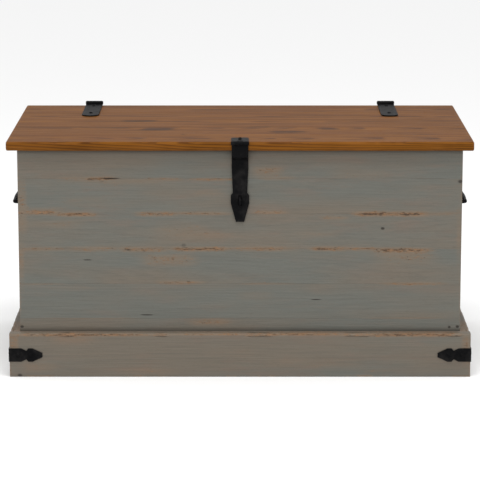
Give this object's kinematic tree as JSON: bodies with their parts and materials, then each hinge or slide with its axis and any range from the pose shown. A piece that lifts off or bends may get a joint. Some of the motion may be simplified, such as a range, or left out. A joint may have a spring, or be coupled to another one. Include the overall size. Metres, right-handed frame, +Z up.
{
  "type": "toy box",
  "caption": "Grey-washed pine toy box with a honey-brown plank lid, iron strap hinges, a hasp with a padlock eye, drop handles, corner plates and a lid stay.",
  "frame": {"origin": "on the floor under the middle of the whole box, hinges and hasp included", "axes": "+X to the right seen from the front, +Y from the front to the hinges, +Z up"},
  "size_m": [0.926, 0.5124, 0.479],
  "materials": {
    "grey_pine": "grey-washed pine, brushed and lightly waxed, worn to bare wood along its edges",
    "lid_pine": "honey-brown stained and waxed pine",
    "bare_pine": "unstained planed pine",
    "black_iron": "hammered black iron, waxed",
    "stay_steel": "zinc-plated steel, satin"
  },
  "bodies": {
    "carcass": {"front_board_1": "grey_pine", "front_board_2": "grey_pine", "front_board_3": "grey_pine", "front_board_4": "grey_pine", "front_board_5": "grey_pine", "front_board_6": "grey_pine", "left_board_1": "grey_pine", "left_board_2": "grey_pine", "left_board_3": "grey_pine", "left_board_4": "grey_pine", "left_board_5": "grey_pine", "left_board_6": "grey_pine", "right_board_1": "grey_pine", "right_board_2": "grey_pine", "right_board_3": "grey_pine", "right_board_4": "grey_pine", "right_board_5": "grey_pine", "right_board_6": "grey_pine", "back_board_1": "grey_pine", "back_board_2": "grey_pine", "back_board_3": "grey_pine", "post_front_left": "bare_pine", "post_front_right": "bare_pine", "post_back_left": "bare_pine", "post_back_right": "bare_pine", "plinth_front": "grey_pine", "plinth_left": "grey_pine", "plinth_right": "grey_pine", "bottom_panel": "bare_pine", "cleat_front": "bare_pine", "cleat_back": "bare_pine", "left_hinge_leaf": "black_iron", "right_hinge_leaf": "black_iron", "hinge_pins": "black_iron", "staple": "black_iron", "left_handle_plate": "black_iron", "right_handle_plate": "black_iron", "corner_plate_left": "black_iron", "corner_plate_right": "black_iron", "stay_stud": "stay_steel", "carcass_screws": "black_iron", "dome_nails": "black_iron"},
    "lid": {"lid_board_1": "lid_pine", "lid_board_2": "lid_pine", "lid_board_3": "lid_pine", "lid_board_4": "lid_pine", "lid_board_5": "lid_pine", "lid_batten_left": "lid_pine", "lid_batten_right": "lid_pine", "left_hinge_strap": "black_iron", "right_hinge_strap": "black_iron", "hasp_leaf": "black_iron", "hasp_pin": "black_iron", "stay_bracket": "stay_steel", "stay_rivet": "stay_steel", "lid_screws": "black_iron"},
    "hasp": {"hasp_strap": "black_iron"},
    "stay": {"stay_arm": "stay_steel"},
    "left_handle": {"left_handle_bail": "black_iron"},
    "right_handle": {"right_handle_bail": "black_iron"}
  },
  "joints": [
    {"name": "lid_hinge", "type": "hinge", "parent": "carcass", "child": "lid", "pos_m": [0, 0.25175, 0.4745], "axis": [-1, 0, 0], "range_deg": [0, 95]},
    {"name": "hasp_swing", "type": "hinge", "parent": "lid", "child": "hasp", "pos_m": [0, -0.25225, 0.468], "axis": [-1, 0, 0], "range_deg": [0, 240]},
    {"name": "stay_swing", "type": "hinge", "parent": "lid", "child": "stay", "pos_m": [0.41075, 0.05417, 0.436], "axis": [1, 0, 0], "range_deg": [0, 47.5]},
    {"name": "left_handle_swing", "type": "hinge", "parent": "carcass", "child": "left_handle", "pos_m": [-0.4435, 0.00975, 0.352], "axis": [0, 1, 0], "range_deg": [0, 140]},
    {"name": "right_handle_swing", "type": "hinge", "parent": "carcass", "child": "right_handle", "pos_m": [0.4435, 0.00975, 0.352], "axis": [0, -1, 0], "range_deg": [0, 140]}
  ],
  "couplings": [
    {"joint": "stay_swing", "follows": "lid_hinge", "ratio": 0.5}
  ]
}
